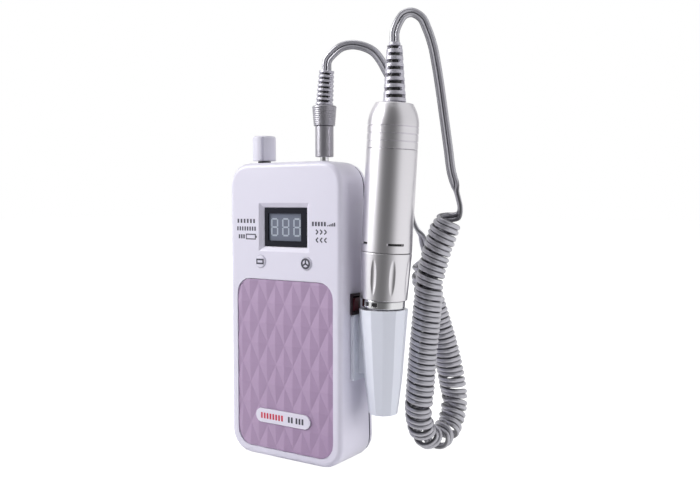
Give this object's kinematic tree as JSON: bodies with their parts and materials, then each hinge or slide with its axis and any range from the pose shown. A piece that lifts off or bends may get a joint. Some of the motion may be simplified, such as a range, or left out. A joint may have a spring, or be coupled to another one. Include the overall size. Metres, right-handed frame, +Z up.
{
  "type": "portable nail drill",
  "caption": "Battery nail drill: slim box with display, speed knob and quilted panel, side cup holding a round handpiece, and a curly lead from the plug to the handpiece.",
  "frame": {"origin": "middle of the box's base, on the surface it stands on", "axes": "+Z up, -Y out of the box's display and panel, +X towards the handpiece in its cup"},
  "size_m": [0.1192, 0.0831, 0.2324],
  "materials": {
    "shell": "glossy, pale lilac white",
    "holder": "glossy, bluish white",
    "panel": "satin mauve",
    "label": "glossy white",
    "lens": "glossy black window",
    "module": "matt grey",
    "board": "green circuit board",
    "black_plastic": "matt black",
    "cell": "blue sleeve over the cell",
    "steel": "bare steel",
    "chrome": "polished",
    "satin_metal": "satin",
    "boot": "light grey rubber",
    "lead": "grey, slightly glossy sheath",
    "plug": "grey, moulded",
    "knob": "glossy white",
    "rocker": "glossy dark red",
    "winding": "copper winding",
    "magnet": "dark grey ferrite"
  },
  "bodies": {
    "box": {"front_shell": "shell", "rear_cover": "shell", "diamond_panel": "panel", "label_plate": "label", "display_lens": "lens", "display_module": "module", "main_board": "board", "board_screw_lower": "steel", "board_screw_upper": "steel", "left_button_switch": "black_plastic", "right_button_switch": "black_plastic", "battery_tray": "black_plastic", "battery_cell_left": "cell", "battery_cell_right": "cell", "speed_potentiometer": "steel", "output_jack": "black_plastic", "charge_socket": "black_plastic", "power_switch_frame": "black_plastic", "handpiece_holder": "holder", "holder_screw_lower": "steel", "holder_screw_upper": "steel", "cord_coil": "lead", "cover_screw_lower_left": "steel", "cover_screw_upper_left": "steel", "cover_screw_lower_right": "steel", "cover_screw_upper_right": "steel"},
    "left_button": {"left_button": "shell"},
    "right_button": {"right_button": "shell"},
    "rocker": {"power_rocker": "rocker"},
    "knob": {"speed_knob": "knob", "potentiometer_shaft": "steel"},
    "plug": {"plug_pin": "chrome", "plug_body": "plug", "plug_collar": "plug", "plug_boot": "boot", "cord_to_plug": "lead"},
    "handpiece": {"tail_cap": "satin_metal", "barrel": "satin_metal", "lock_ring": "chrome", "front_housing": "satin_metal", "nose_bearing": "steel", "spindle_bearing": "steel", "motor_can": "steel", "motor_end_plate": "black_plastic", "motor_magnet": "magnet", "handpiece_boot": "boot", "cord_to_handpiece": "lead"},
    "sleeve": {"twist_sleeve": "satin_metal"},
    "spindle": {"spindle": "steel", "collet": "chrome", "drive_coupling": "black_plastic", "rotor": "winding"}
  },
  "joints": [
    {"name": "left_button_press", "type": "slide", "parent": "box", "child": "left_button", "axis": [0, 1, 0], "range_m": [0, 0.0005], "stiffness_N_per_m": 1500},
    {"name": "right_button_press", "type": "slide", "parent": "box", "child": "right_button", "axis": [0, 1, 0], "range_m": [0, 0.0005], "stiffness_N_per_m": 1500},
    {"name": "power_rocker_tip", "type": "hinge", "parent": "box", "child": "rocker", "pos_m": [0.037, -0.004, 0.085], "axis": [0, -1, 0], "range_deg": [0, 16]},
    {"name": "speed_knob_turn", "type": "hinge", "parent": "box", "child": "knob", "pos_m": [-0.02175, -0.0043, 0.16625], "axis": [0, 0, -1], "range_deg": [0, 300]},
    {"name": "plug_pull", "type": "slide", "parent": "box", "child": "plug", "axis": [0, 0, 1], "range_m": [0, 0.014]},
    {"name": "handpiece_lift", "type": "slide", "parent": "box", "child": "handpiece", "axis": [0.0593, 0, 0.9982], "range_m": [0, 0.055]},
    {"name": "sleeve_twist", "type": "hinge", "parent": "handpiece", "child": "sleeve", "pos_m": [0.051, 0.0009, 0.08395], "axis": [0.0593, 0, 0.9982], "range_deg": [0, 45]},
    {"name": "spindle_spin", "type": "hinge", "parent": "handpiece", "child": "spindle", "pos_m": [0.051, 0.0009, 0.08395], "axis": [0.0593, 0, 0.9982], "continuous": true}
  ]
}
